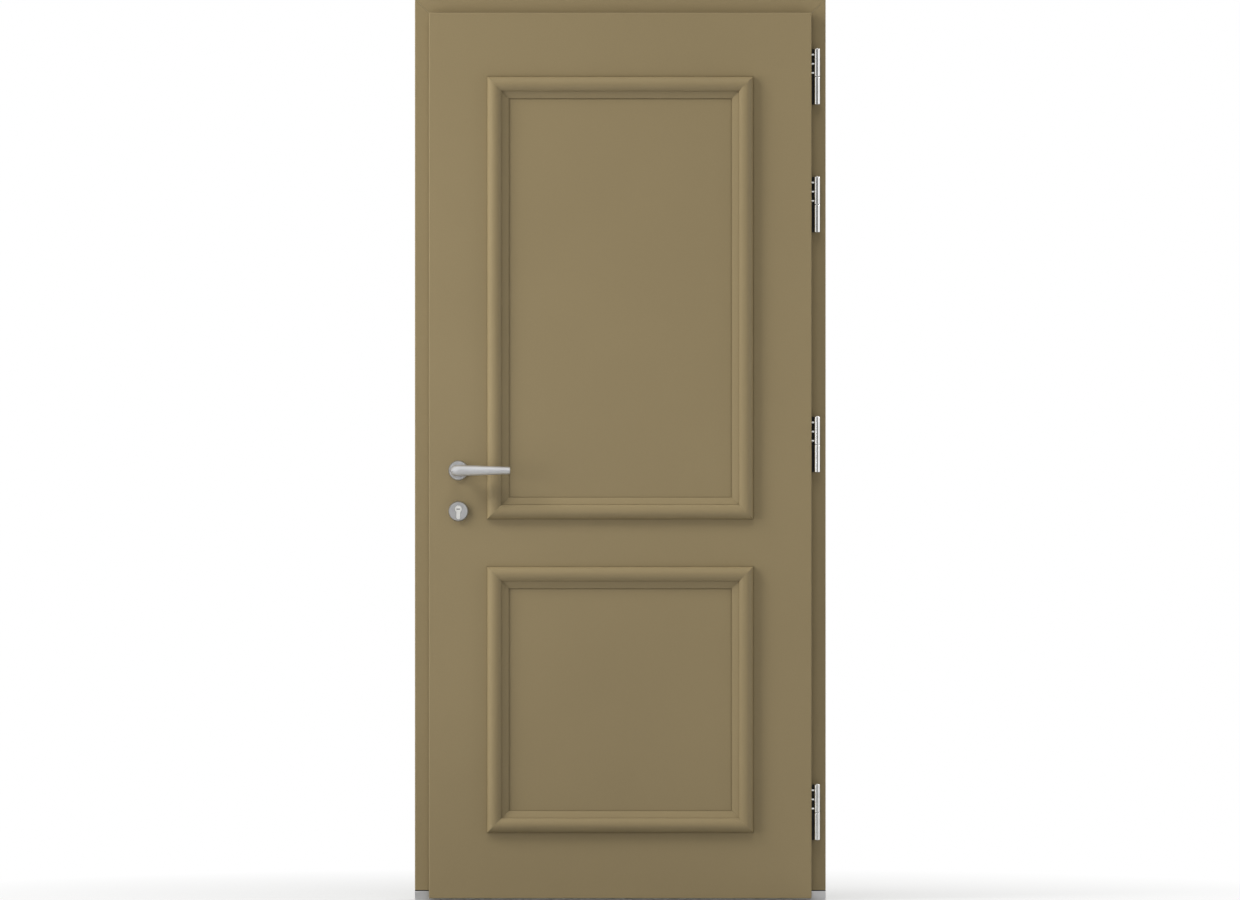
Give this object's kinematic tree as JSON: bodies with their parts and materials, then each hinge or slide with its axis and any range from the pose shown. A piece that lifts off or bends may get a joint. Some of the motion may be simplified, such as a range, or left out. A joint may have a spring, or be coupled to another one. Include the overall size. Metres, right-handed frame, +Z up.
{
  "type": "aluminium front door",
  "caption": "Insulated front door leaf with framed mouldings in a thermally broken frame, pin hinges, lever handle and multipoint cylinder lock.",
  "frame": {"origin": "on the underside of the threshold, halfway along it and halfway through the frame's depth", "axes": "+X to the hinge side as seen from inside, +Y from inside to outside through the wall, +Z up"},
  "size_m": [0.98, 0.1976, 2.15],
  "materials": {
    "powder_coat": "fine matt powder coat, olive beige",
    "satin_aluminium": "satin anodised",
    "mill_aluminium": "natural anodised",
    "polished_steel": "polished stainless steel",
    "zinc_steel": "zinc-plated steel",
    "nickel_brass": "nickel-plated brass",
    "black_rubber": "black sealing rubber",
    "black_polyamide": "black glass-filled polyamide",
    "foam": "rigid insulation foam"
  },
  "bodies": {
    "frame": {"lock_jamb": "powder_coat", "hinge_jamb": "powder_coat", "head_member": "powder_coat", "frame_outer_shells": "powder_coat", "frame_thermal_strips": "black_polyamide", "frame_corner_cleats": "mill_aluminium", "threshold_inner_profile": "mill_aluminium", "threshold_outer_profile": "mill_aluminium", "jamb_foot_seals": "black_rubber", "frame_stop_gasket": "black_rubber", "hinge_1_frame_barrel": "polished_steel", "hinge_2_frame_barrel": "polished_steel", "hinge_3_frame_barrel": "polished_steel", "hinge_4_frame_barrel": "polished_steel", "hinge_pins": "polished_steel", "hinge_frame_studs": "polished_steel", "hinge_packers": "black_polyamide", "strike_plates": "polished_steel", "strike_screws": "polished_steel"},
    "leaf": {"leaf_inner_skin": "powder_coat", "leaf_outer_skin": "powder_coat", "lock_stile": "powder_coat", "hinge_stile": "powder_coat", "top_rail": "powder_coat", "bottom_rail": "powder_coat", "leaf_outer_shells": "powder_coat", "outside_mouldings": "powder_coat", "upper_moulding_left": "powder_coat", "upper_moulding_right": "powder_coat", "upper_moulding_top": "powder_coat", "upper_moulding_bottom": "powder_coat", "lower_moulding_left": "powder_coat", "lower_moulding_right": "powder_coat", "lower_moulding_top": "powder_coat", "lower_moulding_bottom": "powder_coat", "inside_lever_rose": "satin_aluminium", "outside_lever_rose": "satin_aluminium", "inside_key_rose": "satin_aluminium", "outside_key_rose": "satin_aluminium", "hinge_1_leaf_barrel": "polished_steel", "hinge_2_leaf_barrel": "polished_steel", "hinge_3_leaf_barrel": "polished_steel", "hinge_4_leaf_barrel": "polished_steel", "hinge_leaf_studs": "polished_steel", "lock_faceplate": "polished_steel", "faceplate_screws": "polished_steel", "lock_cases": "zinc_steel", "cylinder_housing": "nickel_brass", "leaf_lip_gasket": "black_rubber", "hinge_bushes": "black_polyamide", "leaf_thermal_strips": "black_polyamide", "insulation_core": "foam"},
    "levers": {"inside_lever": "satin_aluminium", "outside_lever": "satin_aluminium", "spindle": "zinc_steel", "lock_follower": "zinc_steel"},
    "latch": {"latch_bolt": "zinc_steel"},
    "key": {"key_plug": "nickel_brass"},
    "bolts": {"dead_bolts": "zinc_steel"},
    "rods": {"drive_rods": "zinc_steel"}
  },
  "joints": [
    {"name": "leaf_swing", "type": "hinge", "parent": "frame", "child": "leaf", "pos_m": [0.469, -0.048, 0], "axis": [0, 0, 1], "range_deg": [0, 110]},
    {"name": "lever_turn", "type": "hinge", "parent": "leaf", "child": "levers", "pos_m": [-0.386, 0, 1.025], "axis": [0, 1, 0], "range_deg": [0, 45], "stiffness_Nm_per_rad": 2, "springref_deg": -28.65},
    {"name": "latch_slide", "type": "slide", "parent": "leaf", "child": "latch", "axis": [1, 0, 0], "range_m": [0, 0.012]},
    {"name": "key_turn", "type": "hinge", "parent": "leaf", "child": "key", "pos_m": [-0.386, 0, 0.933], "axis": [0, 1, 0], "range_deg": [0, 360]},
    {"name": "bolt_slide", "type": "slide", "parent": "leaf", "child": "bolts", "axis": [-1, 0, 0], "range_m": [0, 0.02]},
    {"name": "rod_slide", "type": "slide", "parent": "leaf", "child": "rods", "axis": [0, 0, 1], "range_m": [0, 0.02]}
  ],
  "couplings": [
    {"joint": "latch_slide", "follows": "lever_turn", "m_per_rad": 0.01527},
    {"joint": "key_turn", "follows": "bolt_slide", "rad_per_m": 314.16},
    {"joint": "rod_slide", "follows": "bolt_slide", "ratio": 1}
  ]
}
